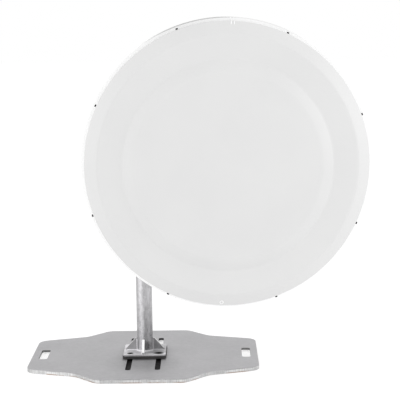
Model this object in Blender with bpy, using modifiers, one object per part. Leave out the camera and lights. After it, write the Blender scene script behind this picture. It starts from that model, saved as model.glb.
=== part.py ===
"""Parabolic dish antenna behind a moulded radome, on a mast bolted to a steel floor plate.

Metres, +Z up. The origin is on the floor under the mast, and the dish faces -Y.
"""
import math

import bmesh
import bpy

# A piece that rests on its neighbour, or is cut by it, keeps this much air
GAP = 0.0003

# Floor plate, cut from thick steel sheet, long side along X
PLATE_T = 0.014
PLATE_HALF_LENGTH = 0.428
PLATE_END_HALF_DEPTH = 0.202
PLATE_WAIST_X = 0.243
PLATE_WAIST_HALF_DEPTH = 0.261
PLATE_FLAT_HALF = 0.160
PLATE_HALF_DEPTH = 0.351
END_CORNER_R = 0.045
WAIST_R = 0.075
SHOULDER_R = 0.045
HANDHOLD_X = 0.385
HANDHOLD_W = 0.033
HANDHOLD_L = 0.129
HANDHOLD_R = 0.009

# Two slots along Y, undercut from below for the clamping bars, which reach further forward than back
SLOT_X = 0.054
SLOT_W = 0.020
SLOT_HALF = 0.230
GROOVE_W = 0.0346
GROOVE_H = 0.008
GROOVE_PLAY = 0.005
FOOT_TRAVEL = 0.065
BAR_W = 0.033
BAR_T = 0.007
BAR_FRONT = 0.205
BAR_BACK = 0.150
BAR_CORNER_R = 0.003

# Mast foot
PAD_SIDE = 0.164
PAD_T = 0.010
PAD_CORNER_R = 0.014
FLANGE_SIDE = 0.160
FLANGE_T = 0.005
FLANGE_CORNER_R = 0.012
FOOT_BOLT_HALF_PITCH = 0.054
GUSSET_T = 0.009
GUSSET_REACH = 0.072
GUSSET_H = 0.046
GUSSET_TIP = 0.006
FRONT_GUSSET_X = -0.0045
MAST_R = 0.03015
MAST_WALL = 0.00365
MAST_TOP = 0.940
CAP_WALL = 0.0025
CAP_SKIRT = 0.025
CAP_EDGE = 0.003

# Fasteners: shank and hole radius, hexagon across its corners, head and nut height
M12_R = 0.006
M12_HOLE_R = 0.0065
M12_HEX_R = 0.0105
M12_HEAD_H = 0.008
M12_NUT_H = 0.010
M16_R = 0.0077
M16_HOLE_R = 0.0080
M16_HEX_R = 0.0138
M16_HEAD_H = 0.010
M16_NUT_H = 0.013
BOLT_PROUD = 0.004
CLAMP_BOLT_PROUD = 0.008
FOOT_HEAD_R = 0.0105
SINK_LAP = 0.001
SOCKET_R = 0.0046
SOCKET_DEPTH = 0.0035

# Mast clamp, turning about the mast
HUB_Z = 0.788
HEAD_TURN = math.radians(3.0)
JAW_Z = 0.075
JAW_WIDTH = 0.140
JAW_H = 0.050
JAW_BACK = 0.062
JAW_FRONT = 0.008
JAW_T = 0.004
NOTCH_REACH = 0.080
CLAMP_BOLT_X = 0.055
PAN_WIDTH = 0.150
PAN_H = 0.230
PAN_T = 0.008
PAN_CORNER_R = 0.012

# Offset arm and yoke, which carry the dish beside the mast
ARM_REACH = 0.290
ARM_START = -0.060
ARM_OVERHANG = 0.075
ARM_H = 0.060
ARM_DEPTH = 0.050
ARM_WALL = 0.004
PIVOT_AHEAD = 0.044
LOCK_RADIUS = 0.070
CHEEK_X = 0.055
CHEEK_T = 0.008
CHEEK_BACK = 0.026
CHEEK_HEEL = 0.010
CHEEK_NOSE = 0.018
CHEEK_NECK = 0.022
CHEEK_ABOVE_LOCK = 0.018

# Hub bracket, tilting on the pivot bolts
TILT_LIMIT = math.radians(15.0)
EAR_X = 0.046
EAR_T = 0.008
EAR_BOTTOM = -0.060
EAR_KNEE_Y = -0.012
EAR_KNEE_Z = -0.024
EAR_NECK_Y = 0.024
EAR_NECK_Z = 0.020
EAR_TIP_Y = 0.038
EAR_TIP_LOW = 0.052
EAR_TIP_HIGH = 0.086
EAR_TOP = 0.090
SLOT_PLAY = 0.0012
HUB_PLATE_AHEAD = 0.055
HUB_PLATE_T = 0.008
HUB_PLATE_HALF_WIDTH = 0.095
HUB_PLATE_BOTTOM = -0.090
HUB_PLATE_TOP = 0.095
HUB_PLATE_CORNER_R = 0.015
HUB_HOLE_R = 0.034
HUB_RING_T = 0.012
HUB_RING_R = 0.110
HUB_MIDDLE_R = 0.070
HUB_BORE_R = 0.030

# Dish, in a frame of its own: +Z forward out of the dish, 0 at the radome's widest edge
TURN_STEPS = 48
DISH_ROLL = math.radians(2.8)
RADOME_R = 0.484
RADOME_WALL = 0.004
SKIRT_L = 0.040
BEVEL_R = 0.443
BEVEL_H = 0.025
BEVEL_CURVE = 1.1
BEVEL_RINGS = 4
STEP_OUTER_R = 0.357
STEP_INNER_R = 0.318
STEP_FOOT_H = 0.027
STEP_TOP_H = 0.043
STEP_CURVE = 1.3
STEP_RINGS = 4
DOME_H = 0.056
DOME_RINGS = 5
SHELL_T = 0.003
BOWL_R = 0.470
BOWL_RIM_R = 0.493
BOWL_DEPTH = 0.228
BOWL_RINGS = [0.425, 0.375, 0.320, 0.260, 0.190]
BOWL_SEAT = 0.0004
RIM_R = 0.498
RIM_T = 0.003
RIM_LIP = 0.0177
HOOP_TOP = 0.004
RIM_SCREWS = 8
RIM_SCREW_SET_BACK = 0.010
RIM_SCREW_R = 0.003
RIM_SCREW_HEAD_R = 0.0042
RIM_SCREW_HEAD_H = 0.0062
RIM_SCREW_PROUD = 0.006
FEED_R = 0.027
FEED_END = 0.285
FEED_FLANGE_R = 0.033
FEED_FLANGE_T = 0.010

# Colours as linear red, green, blue
ZINC = (0.42, 0.42, 0.43)
ZINC_BRIGHT = (0.55, 0.56, 0.57)
BLACK_RUBBER = (0.025, 0.024, 0.025)
BLACK_STEEL = (0.035, 0.034, 0.035)
WHITE_PAINT = (0.80, 0.80, 0.79)
OFF_WHITE = (0.74, 0.74, 0.72)

for old in list(bpy.data.objects):
    bpy.data.objects.remove(old, do_unlink=True)

parts = bpy.data.collections.new("parabolic_dish_antenna")
cutters = bpy.data.collections.new("cutters")
bpy.context.scene.collection.children.link(parts)
bpy.context.scene.collection.children.link(cutters)


def material(name, colour, roughness, metallic):
    """A plain Principled surface."""
    mat = bpy.data.materials.new(name)
    mat.use_nodes = True
    shader = mat.node_tree.nodes["Principled BSDF"]
    shader.inputs["Base Color"].default_value = (*colour, 1.0)
    shader.inputs["Roughness"].default_value = roughness
    shader.inputs["Metallic"].default_value = metallic
    return mat


galvanised = material("galvanised_steel", ZINC, roughness=0.45, metallic=0.8)
zinc_plated = material("zinc_plated", ZINC_BRIGHT, roughness=0.35, metallic=0.9)
rubber = material("black_rubber", BLACK_RUBBER, roughness=0.8, metallic=0.0)
dark_steel = material("black_steel", BLACK_STEEL, roughness=0.5, metallic=0.6)
white_paint = material("white_painted_aluminium", WHITE_PAINT, roughness=0.4, metallic=0.0)
radome_plastic = material("radome_plastic", OFF_WHITE, roughness=0.45, metallic=0.0)


def empty(name, parent, location, rotation=(0.0, 0.0, 0.0)):
    """A frame that carries the pieces of one body."""
    ob = bpy.data.objects.new(name, None)
    ob.parent = parent
    ob.location = location
    ob.rotation_euler = rotation
    parts.objects.link(ob)
    return ob


def evaluated_mesh(ob):
    """The object's shape with its modifiers worked out, as a mesh of its own."""
    bpy.context.view_layer.update()
    graph = bpy.context.evaluated_depsgraph_get()
    return bpy.data.meshes.new_from_object(ob.evaluated_get(graph))


def add(name, mesh, parent, location=(0.0, 0.0, 0.0), rotation=(0.0, 0.0, 0.0), mat=None):
    """Place a mesh as one named piece."""
    ob = bpy.data.objects.new(name, mesh)
    ob.parent = parent
    ob.location = location
    ob.rotation_euler = rotation
    parts.objects.link(ob)
    if mat and not mesh.materials:
        mesh.materials.append(mat)
    return ob


def as_cutter(ob):
    """Keep an object only for the Boolean that it feeds."""
    for holder in list(ob.users_collection):
        holder.objects.unlink(ob)
    cutters.objects.link(ob)
    ob.hide_render = True
    ob.display_type = "WIRE"
    return ob


def boolean(ob, other, operation="DIFFERENCE"):
    """Cut or join one object with another by the exact solver."""
    mod = ob.modifiers.new(operation.lower(), "BOOLEAN")
    mod.operation = operation
    mod.solver = "EXACT"
    mod.object = as_cutter(other)


def shade(mesh, angle=math.radians(35)):
    """Smooth shading that keeps the real edges."""
    mesh.shade_smooth()
    mesh.set_sharp_from_angle(angle=angle)


def box_mesh(name, size):
    """A box centred on its own origin."""
    bpy.ops.mesh.primitive_cube_add(size=1.0)
    ob = bpy.context.object
    ob.scale = size
    bpy.ops.object.transform_apply(location=False, rotation=False, scale=True)
    mesh = ob.data
    mesh.name = name
    bpy.data.objects.remove(ob, do_unlink=True)
    return mesh


def rod_mesh(name, radius, start, end, sides):
    """A straight rod along Z from start to end."""
    bpy.ops.mesh.primitive_cylinder_add(vertices=sides, radius=radius, depth=end - start)
    ob = bpy.context.object
    ob.location.z = (start + end) / 2
    bpy.ops.object.transform_apply(location=True, rotation=False, scale=False)
    mesh = ob.data
    mesh.name = name
    bpy.data.objects.remove(ob, do_unlink=True)
    return mesh


def fillet(corners, segments=6):
    """Points of a closed outline whose corners (x, y, radius) are rounded by arcs."""
    points = []
    count = len(corners)
    for i, (x, y, radius) in enumerate(corners):
        px, py, _ = corners[i - 1]
        nx, ny, _ = corners[(i + 1) % count]
        if radius <= 0:
            points.append((x, y))
            continue
        a = math.atan2(py - y, px - x)
        b = math.atan2(ny - y, nx - x)
        half = abs((b - a + math.pi) % (2 * math.pi) - math.pi) / 2
        reach = radius / math.tan(half)
        middle = math.atan2(math.sin(a) + math.sin(b), math.cos(a) + math.cos(b))
        cx = x + radius / math.sin(half) * math.cos(middle)
        cy = y + radius / math.sin(half) * math.sin(middle)
        start = math.atan2(y + reach * math.sin(a) - cy, x + reach * math.cos(a) - cx)
        end = math.atan2(y + reach * math.sin(b) - cy, x + reach * math.cos(b) - cx)
        sweep = (end - start + math.pi) % (2 * math.pi) - math.pi
        for k in range(segments + 1):
            angle = start + sweep * k / segments
            points.append((cx + radius * math.cos(angle), cy + radius * math.sin(angle)))
    return points


def circle(x, y, radius, sides=20):
    """Points of a round hole."""
    turn = [2 * math.pi * k / sides for k in range(sides)]
    return [(x + radius * math.cos(a), y + radius * math.sin(a)) for a in turn]


def capsule(x, y, radius, half_length, segments=6):
    """Points of a straight slot along Y with round ends."""
    points = []
    for centre, first in ((y + half_length - radius, 0.0), (y - half_length + radius, math.pi)):
        for k in range(segments + 1):
            angle = first + math.pi * k / segments
            points.append((x + radius * math.cos(angle), centre + radius * math.sin(angle)))
    return points


def arc_slot(track_radius, half_angle, radius, segments=6):
    """Points of a slot bent about the origin, centred above it."""
    points = []
    for k in range(segments + 1):
        angle = math.pi / 2 - half_angle + 2 * half_angle * k / segments
        far = track_radius + radius
        points.append((far * math.cos(angle), far * math.sin(angle)))
    for k in range(1, segments):
        angle = math.pi / 2 + half_angle
        turn = angle + math.pi * k / segments
        points.append((track_radius * math.cos(angle) + radius * math.cos(turn),
                       track_radius * math.sin(angle) + radius * math.sin(turn)))
    for k in range(segments + 1):
        angle = math.pi / 2 + half_angle - 2 * half_angle * k / segments
        near = track_radius - radius
        points.append((near * math.cos(angle), near * math.sin(angle)))
    for k in range(1, segments):
        angle = math.pi / 2 - half_angle
        turn = angle + math.pi + math.pi * k / segments
        points.append((track_radius * math.cos(angle) + radius * math.cos(turn),
                       track_radius * math.sin(angle) + radius * math.sin(turn)))
    return points


def plate_mesh(name, outline, holes, thickness):
    """A flat plate in XY, centred on its own thickness, from an outline and its holes."""
    curve = bpy.data.curves.new(name + "_outline", "CURVE")
    curve.dimensions = "2D"
    curve.fill_mode = "BOTH"
    curve.extrude = thickness / 2
    for points in [outline] + holes:
        spline = curve.splines.new("POLY")
        spline.points.add(len(points) - 1)
        for point, (x, y) in zip(spline.points, points):
            point.co = (x, y, 0.0, 1.0)
        spline.use_cyclic_u = True
    ob = bpy.data.objects.new(name + "_outline", curve)
    parts.objects.link(ob)
    mesh = evaluated_mesh(ob)
    mesh.name = name
    bpy.data.objects.remove(ob, do_unlink=True)
    bpy.data.curves.remove(curve)
    shape = bmesh.new()
    shape.from_mesh(mesh)
    bmesh.ops.remove_doubles(shape, verts=shape.verts, dist=0.00001)
    bmesh.ops.recalc_face_normals(shape, faces=shape.faces)
    shape.to_mesh(mesh)
    shape.free()
    return mesh


def turned(name, profile, closed, parent, mat, steps=TURN_STEPS, wall=0.0, location=(0.0, 0.0, 0.0)):
    """A piece turned about its own Z from a profile (radius, height), as a solid or a shell."""
    mesh = bpy.data.meshes.new(name)
    edges = [(i, i + 1) for i in range(len(profile) - 1)]
    if closed:
        edges.append((len(profile) - 1, 0))
    mesh.from_pydata([(r, 0.0, h) for r, h in profile], edges, [])
    ob = add(name, mesh, parent, location, mat=mat)
    screw = ob.modifiers.new("turn", "SCREW")
    screw.axis = "Z"
    screw.angle = 2 * math.pi
    screw.steps = steps
    screw.render_steps = steps
    screw.use_merge_vertices = True
    screw.merge_threshold = 0.0001
    if wall:
        shell = ob.modifiers.new("wall", "SOLIDIFY")
        shell.thickness = wall
        shell.offset = -1.0
        shell.use_even_offset = True
    return ob


def joined(name, mesh, others):
    """One closed mesh from a first mesh and others that run into it."""
    ob = bpy.data.objects.new(name, mesh)
    parts.objects.link(ob)
    helpers = []
    for other in others:
        helper = bpy.data.objects.new(name + "_helper", other)
        parts.objects.link(helper)
        boolean(ob, helper, "UNION")
        helpers.append(helper)
    result = evaluated_mesh(ob)
    result.name = name
    for spare in [ob] + helpers:
        bpy.data.objects.remove(spare, do_unlink=True)
    return result


def bolt_mesh(name, shank_r, start, end, collars, sides=16):
    """A bolt along Z with hexagons (radius, start, end) for its head and nut."""
    hexagons = [rod_mesh(name + "_hexagon", radius, low, high, 6) for radius, low, high in collars]
    return joined(name, rod_mesh(name + "_shank", shank_r, start, end, sides), hexagons)


ALONG_X = (math.pi / 2, 0.0, math.pi / 2)
ALONG_Y = (math.pi / 2, 0.0, 0.0)


def base_plate():
    """Floor plate: long, waisted, with handholds near its ends and two slots under the mast."""
    corner = [
        (PLATE_HALF_LENGTH, PLATE_END_HALF_DEPTH, END_CORNER_R),
        (PLATE_WAIST_X, PLATE_WAIST_HALF_DEPTH, WAIST_R),
        (PLATE_FLAT_HALF, PLATE_HALF_DEPTH, SHOULDER_R),
    ]
    outline = list(corner)
    outline += [(-x, y, r) for x, y, r in reversed(corner)]
    outline += [(-x, -y, r) for x, y, r in corner]
    outline += [(x, -y, r) for x, y, r in reversed(corner)]
    half_w = HANDHOLD_W / 2
    half_l = HANDHOLD_L / 2
    holes = []
    for side in (-1, 1):
        x = side * HANDHOLD_X
        holes.append(fillet([
            (x - half_w, -half_l, HANDHOLD_R),
            (x + half_w, -half_l, HANDHOLD_R),
            (x + half_w, half_l, HANDHOLD_R),
            (x - half_w, half_l, HANDHOLD_R),
        ], 4))
        holes.append(capsule(side * SLOT_X, 0.0, SLOT_W / 2, SLOT_HALF))
    mesh = plate_mesh("base_plate", fillet(outline), holes, PLATE_T)
    plate = add("base_plate", mesh, None, (0.0, 0.0, PLATE_T / 2), mat=galvanised)
    length = BAR_FRONT + BAR_BACK + 2 * (FOOT_TRAVEL + GROOVE_PLAY)
    middle = (BAR_BACK - BAR_FRONT) / 2
    for side in (-1, 1):
        size = (GROOVE_W, length, 2 * GROOVE_H)
        groove = add("groove_cutter", box_mesh("groove_cutter", size), None, (side * SLOT_X, middle, 0.0))
        boolean(plate, groove)


def foot(body):
    """Slotted bars, pad, flange, gussets and screws that hold the mast on the plate."""
    for side, name in ((-1, "left"), (1, "right")):
        holes = [circle(0.0, y * FOOT_BOLT_HALF_PITCH, M12_HOLE_R) for y in (-1, 1)]
        half_w = BAR_W / 2
        outline = fillet([
            (-half_w, -BAR_FRONT, BAR_CORNER_R),
            (half_w, -BAR_FRONT, BAR_CORNER_R),
            (half_w, BAR_BACK, BAR_CORNER_R),
            (-half_w, BAR_BACK, BAR_CORNER_R),
        ], 2)
        mesh = plate_mesh("slide_bar_" + name, outline, holes, BAR_T)
        height = GROOVE_H - GAP - BAR_T / 2
        add("slide_bar_" + name, mesh, body, (side * SLOT_X, 0.0, height), mat=dark_steel)

    pad_z = PLATE_T + GAP
    flange_z = pad_z + PAD_T + GAP
    top_z = flange_z + FLANGE_T
    pitch = FOOT_BOLT_HALF_PITCH
    places = [(x * pitch, y * pitch) for x in (-1, 1) for y in (-1, 1)]
    for name, side, thickness, radius, z, mat in (
        ("foot_pad", PAD_SIDE, PAD_T, PAD_CORNER_R, pad_z, rubber),
        ("foot_flange", FLANGE_SIDE, FLANGE_T, FLANGE_CORNER_R, flange_z, galvanised),
    ):
        half = side / 2
        corners = [(-half, -half), (half, -half), (half, half), (-half, half)]
        outline = fillet([(x, y, radius) for x, y in corners])
        holes = [circle(x, y, M12_HOLE_R) for x, y in places]
        mesh = plate_mesh(name, outline, holes, thickness)
        flange = add(name, mesh, body, (0.0, 0.0, z + thickness / 2), mat=mat)

    # The flange, the last of the two, is countersunk for the screws' heads, whose tops lie flush with it
    head_low = top_z - (FOOT_HEAD_R - M12_R)
    sink = [
        (0.0, top_z + SINK_LAP),
        (M12_HOLE_R + top_z - head_low + SINK_LAP, top_z + SINK_LAP),
        (M12_HOLE_R - SINK_LAP, head_low - SINK_LAP),
        (0.0, head_low - SINK_LAP),
    ]
    for x, y in places:
        boolean(flange, turned("countersink_cutter", sink, False, body, None, steps=20, location=(x, y, 0.0)))

    inner = MAST_R + GAP
    outline = [
        (inner, 0.0),
        (GUSSET_REACH, 0.0),
        (GUSSET_REACH, GUSSET_TIP),
        (inner + GUSSET_TIP, GUSSET_H),
        (inner, GUSSET_H),
    ]
    gusset = plate_mesh("gusset", outline, [], GUSSET_T)
    for quarter, name in enumerate(("right", "back", "left", "front")):
        turn = (math.pi / 2, 0.0, quarter * math.pi / 2)
        x = FRONT_GUSSET_X if name == "front" else 0.0
        add("gusset_" + name, gusset, body, (x, 0.0, top_z + GAP), turn, galvanised)

    wall_in = MAST_R - MAST_WALL
    low = top_z + GAP
    tube = [(wall_in, MAST_TOP), (MAST_R, MAST_TOP), (MAST_R, low), (wall_in, low)]
    mast = turned("mast_tube", tube, True, body, galvanised)
    shade(mast.data)
    outer = MAST_R + GAP + CAP_WALL
    crown = MAST_TOP + GAP + CAP_WALL
    cap = [
        (0.0, crown),
        (outer - CAP_EDGE, crown),
        (outer, crown - CAP_EDGE),
        (outer, MAST_TOP - CAP_SKIRT),
        (MAST_R + GAP, MAST_TOP - CAP_SKIRT),
        (MAST_R + GAP, MAST_TOP + GAP),
        (0.0, MAST_TOP + GAP),
    ]
    turned("mast_cap", cap, False, body, rubber, steps=32)

    tip = GROOVE_H - BAR_T
    screw = [(0.0, top_z), (FOOT_HEAD_R, top_z), (M12_R, head_low), (M12_R, tip), (0.0, tip)]
    for number, (x, y) in enumerate(places, 1):
        ob = turned("foot_screw_%d" % number, screw, False, body, dark_steel, steps=20, location=(x, y, 0.0))
        socket = rod_mesh("socket_cutter", SOCKET_R, top_z - SOCKET_DEPTH, top_z + SINK_LAP, 6)
        boolean(ob, add("socket_cutter", socket, body, (x, y, 0.0)))


def clamp(body):
    """Four toothless channel jaws, two before and two behind the mast, drawn together by long bolts."""
    height = JAW_H / 2
    inner = height - JAW_T
    section = [
        (-JAW_BACK, -height),
        (-JAW_FRONT, -height),
        (-JAW_FRONT, -inner),
        (-JAW_BACK + JAW_T, -inner),
        (-JAW_BACK + JAW_T, inner),
        (-JAW_FRONT, inner),
        (-JAW_FRONT, height),
        (-JAW_BACK, height),
    ]
    jaw = bpy.data.objects.new("jaw", plate_mesh("clamp_jaw", section, [], JAW_WIDTH))
    jaw.rotation_euler = ALONG_X
    parts.objects.link(jaw)
    apex = (MAST_R + GAP) * math.sqrt(2)
    side = NOTCH_REACH * math.sqrt(2)
    notch = box_mesh("notch_cutter", (side, side, 2 * JAW_H))
    helpers = [add("notch_cutter", notch, None, (0.0, NOTCH_REACH - apex, 0.0), (0.0, 0.0, math.pi / 4))]
    for x in (-CLAMP_BOLT_X, CLAMP_BOLT_X):
        hole = rod_mesh("hole_cutter", M12_HOLE_R, -2 * JAW_T, 2 * JAW_T, 16)
        helpers.append(add("hole_cutter", hole, None, (x, -JAW_BACK, 0.0), ALONG_Y))
    for helper in helpers:
        boolean(jaw, helper)
    mesh = evaluated_mesh(jaw)
    mesh.transform(jaw.matrix_world)
    for spare in [jaw] + helpers:
        bpy.data.objects.remove(spare, do_unlink=True)
    mesh.name = "clamp_jaw"
    for level, z in (("upper", JAW_Z), ("lower", -JAW_Z)):
        add("clamp_front_" + level, mesh, body, (0.0, 0.0, z), mat=galvanised)
        add("clamp_back_" + level, mesh, body, (0.0, 0.0, z), (0.0, 0.0, math.pi), galvanised)

    pan_back = JAW_BACK + GAP
    outline = fillet([
        (-PAN_WIDTH / 2, -PAN_H / 2, PAN_CORNER_R),
        (PAN_WIDTH / 2, -PAN_H / 2, PAN_CORNER_R),
        (PAN_WIDTH / 2, PAN_H / 2, PAN_CORNER_R),
        (-PAN_WIDTH / 2, PAN_H / 2, PAN_CORNER_R),
    ], 4)
    places = [(x, z) for x in (-CLAMP_BOLT_X, CLAMP_BOLT_X) for z in (-JAW_Z, JAW_Z)]
    holes = [circle(x, z, M12_HOLE_R) for x, z in places]
    add("pan_plate", plate_mesh("pan_plate", outline, holes, PAN_T), body,
        (0.0, -pan_back - PAN_T / 2, 0.0), ALONG_Y, galvanised)

    head = JAW_BACK + GAP
    front = pan_back + PAN_T + GAP
    tip = front + M12_NUT_H + CLAMP_BOLT_PROUD
    hexagons = [(M12_HEX_R, -head - M12_HEAD_H, -head), (M12_HEX_R, front, front + M12_NUT_H)]
    bolt = bolt_mesh("clamp_bolt", M12_R, -head - M12_HEAD_H / 2, tip, hexagons)
    names = {(-1, -1): "lower_left", (-1, 1): "upper_left", (1, -1): "lower_right", (1, 1): "upper_right"}
    for x, z in places:
        name = names[(int(math.copysign(1, x)), int(math.copysign(1, z)))]
        add("clamp_bolt_" + name, bolt, body, (x, 0.0, z), ALONG_Y, zinc_plated)


def arm_and_yoke(body):
    """Box arm that reaches sideways from the clamp, and the two cheeks welded to its front."""
    arm_back = JAW_BACK + GAP + PAN_T + GAP
    half = ARM_H / 2
    hollow = half - ARM_WALL
    outer = [(0.0, -half), (ARM_DEPTH, -half), (ARM_DEPTH, half), (0.0, half)]
    inner = [
        (ARM_WALL, -hollow),
        (ARM_DEPTH - ARM_WALL, -hollow),
        (ARM_DEPTH - ARM_WALL, hollow),
        (ARM_WALL, hollow),
    ]
    length = ARM_REACH + ARM_OVERHANG - ARM_START
    mesh = plate_mesh("offset_arm", outer, [inner], length)
    add("offset_arm", mesh, body, (ARM_START + length / 2, -arm_back - ARM_DEPTH, 0.0), ALONG_X, galvanised)

    pivot_y = -arm_back - ARM_DEPTH - PIVOT_AHEAD
    weld = PIVOT_AHEAD - GAP
    outline = fillet([
        (weld, -half, 0.0),
        (weld, half, 0.0),
        (CHEEK_NECK, LOCK_RADIUS + CHEEK_ABOVE_LOCK, 0.014),
        (-CHEEK_NOSE, LOCK_RADIUS + CHEEK_ABOVE_LOCK, 0.014),
        (-CHEEK_BACK, CHEEK_HEEL, 0.030),
        (-CHEEK_BACK, -CHEEK_BACK, 0.022),
    ])
    holes = [circle(0.0, 0.0, M16_HOLE_R), circle(0.0, LOCK_RADIUS, M12_HOLE_R)]
    cheek = plate_mesh("yoke_cheek", outline, holes, CHEEK_T)
    head = CHEEK_X + CHEEK_T + GAP
    nut = EAR_X - GAP
    hexagons = [(M16_HEX_R, nut - M16_NUT_H, nut), (M16_HEX_R, head, head + M16_HEAD_H)]
    pivot = bolt_mesh("pivot_bolt", M16_R, nut - M16_NUT_H - BOLT_PROUD, head + M16_HEAD_H / 2, hexagons)
    hexagons = [(M12_HEX_R, nut - M12_NUT_H, nut), (M12_HEX_R, head, head + M12_HEAD_H)]
    lock = bolt_mesh("lock_bolt", M12_R, nut - M12_NUT_H - BOLT_PROUD, head + M12_HEAD_H / 2, hexagons)
    for side, name in ((-1, "left"), (1, "right")):
        x = ARM_REACH + side * (CHEEK_X + CHEEK_T / 2)
        add("yoke_cheek_" + name, cheek, body, (x, pivot_y, 0.0), ALONG_X, galvanised)
        turn = (0.0, side * math.pi / 2, 0.0)
        add("pivot_bolt_" + name, pivot, body, (ARM_REACH, pivot_y, 0.0), turn, zinc_plated)
        add("lock_bolt_" + name, lock, body, (ARM_REACH, pivot_y, LOCK_RADIUS), turn, zinc_plated)
    return pivot_y


def hub_bracket(body):
    """Plate behind the dish with two ears, each with a pivot hole and a bent slot."""
    back = -HUB_PLATE_AHEAD
    outline = fillet([
        (-HUB_PLATE_HALF_WIDTH, HUB_PLATE_BOTTOM, HUB_PLATE_CORNER_R),
        (HUB_PLATE_HALF_WIDTH, HUB_PLATE_BOTTOM, HUB_PLATE_CORNER_R),
        (HUB_PLATE_HALF_WIDTH, HUB_PLATE_TOP, HUB_PLATE_CORNER_R),
        (-HUB_PLATE_HALF_WIDTH, HUB_PLATE_TOP, HUB_PLATE_CORNER_R),
    ], 4)
    plate = plate_mesh("hub_plate", outline, [circle(0.0, 0.0, HUB_HOLE_R, 32)], HUB_PLATE_T)
    bracket = add("hub_bracket", plate, body, (0.0, back - HUB_PLATE_T / 2, 0.0), ALONG_Y, galvanised)
    root = back - HUB_PLATE_T / 2
    slot_half = TILT_LIMIT + (M12_R + SLOT_PLAY) / LOCK_RADIUS
    outline = fillet([
        (root, EAR_BOTTOM, 0.0),
        (EAR_KNEE_Y, EAR_BOTTOM, 0.020),
        (EAR_NECK_Y, EAR_KNEE_Z, 0.020),
        (EAR_NECK_Y, EAR_NECK_Z, 0.020),
        (EAR_TIP_Y, EAR_TIP_LOW, 0.010),
        (EAR_TIP_Y, EAR_TIP_HIGH, 0.012),
        (root, EAR_TOP, 0.0),
    ])
    holes = [circle(0.0, 0.0, M16_HOLE_R), arc_slot(LOCK_RADIUS, slot_half, M12_HOLE_R)]
    ear = plate_mesh("hub_ear", outline, holes, EAR_T)
    for side in (-1, 1):
        x = side * (EAR_X + EAR_T / 2)
        boolean(bracket, add("ear_helper", ear, body, (x, 0.0, 0.0), ALONG_X), "UNION")


def bowl_height(radius):
    """Height of the reflector's back at a radius, from the vertex to the flat rim."""
    rim = -SKIRT_L - 2 * GAP - RIM_T - SHELL_T
    return -BOWL_DEPTH + (BOWL_DEPTH + rim) * (radius / BOWL_R) ** 2


def dish(body):
    """Reflector, rim ring, radome with its screws, hub ring and feed flange."""
    hub_radii = [HUB_BORE_R, HUB_MIDDLE_R, HUB_RING_R]
    bowl_radii = [BOWL_R] + BOWL_RINGS + hub_radii[::-1] + [0.0]
    rim = bowl_height(BOWL_R)
    profile = [(BOWL_RIM_R, rim)] + [(r, bowl_height(r)) for r in bowl_radii]
    reflector = turned("reflector", profile, False, body, white_paint, wall=SHELL_T)
    shade(reflector.data)

    hub_back = -BOWL_DEPTH - GAP - HUB_RING_T
    profile = [(r, bowl_height(r) - BOWL_SEAT) for r in hub_radii]
    profile += [(HUB_RING_R, hub_back), (HUB_BORE_R, hub_back)]
    turned("hub_ring", profile, True, body, galvanised)

    inner = RADOME_R - RADOME_WALL - GAP - RIM_T
    outer = RADOME_R - RADOME_WALL - GAP
    face = -SKIRT_L - GAP
    profile = [
        (inner, -HOOP_TOP),
        (outer, -HOOP_TOP),
        (outer, face),
        (RIM_R, face),
        (RIM_R, face - RIM_LIP),
        (RIM_R - RIM_T, face - RIM_LIP),
        (RIM_R - RIM_T, face - RIM_T),
        (inner, face - RIM_T),
    ]
    ring = turned("rim_ring", profile, True, body, white_paint)

    profile = []
    for k in range(DOME_RINGS + 1):
        u = k / DOME_RINGS
        profile.append((STEP_INNER_R * u, DOME_H - (DOME_H - STEP_TOP_H) * u * u))
    for k in range(1, STEP_RINGS + 1):
        u = k / STEP_RINGS
        drop = (STEP_TOP_H - STEP_FOOT_H) * u ** STEP_CURVE
        profile.append((STEP_INNER_R + (STEP_OUTER_R - STEP_INNER_R) * u, STEP_TOP_H - drop))
    profile.append((BEVEL_R, BEVEL_H))
    for k in range(1, BEVEL_RINGS + 1):
        u = k / BEVEL_RINGS
        profile.append((BEVEL_R + (RADOME_R - BEVEL_R) * u, BEVEL_H * (1 - u ** BEVEL_CURVE)))
    profile.append((RADOME_R, -SKIRT_L))
    radome = turned("radome", profile, False, body, radome_plastic, wall=RADOME_WALL)
    shade(radome.data)

    length = RADOME_R - inner + RIM_SCREW_PROUD
    screw = bolt_mesh("rim_screw", RIM_SCREW_R, -length, RIM_SCREW_HEAD_H / 2,
                      [(RIM_SCREW_HEAD_R, GAP, RIM_SCREW_HEAD_H)], sides=12)
    hole_r = RIM_SCREW_R + GAP
    for k in range(RIM_SCREWS):
        angle = 2 * math.pi * (k + 0.5) / RIM_SCREWS
        place = (RADOME_R * math.cos(angle), RADOME_R * math.sin(angle), -RIM_SCREW_SET_BACK)
        turn = (0.0, math.pi / 2, angle)
        for holder in (radome, ring):
            hole = rod_mesh("screw_hole_cutter", hole_r, -length, RIM_SCREW_HEAD_H, 12)
            boolean(holder, add("screw_hole_cutter", hole, body, place, turn))
        add("rim_screw_%d" % (k + 1), screw, body, place, turn, dark_steel)

    front = -BOWL_DEPTH - BOWL_SEAT
    profile = [
        (0.0, front),
        (FEED_R, front),
        (FEED_R, -FEED_END + FEED_FLANGE_T),
        (FEED_FLANGE_R, -FEED_END + FEED_FLANGE_T),
        (FEED_FLANGE_R, -FEED_END),
        (0.0, -FEED_END),
    ]
    turned("feed_flange", profile, False, body, zinc_plated, steps=32)


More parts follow.
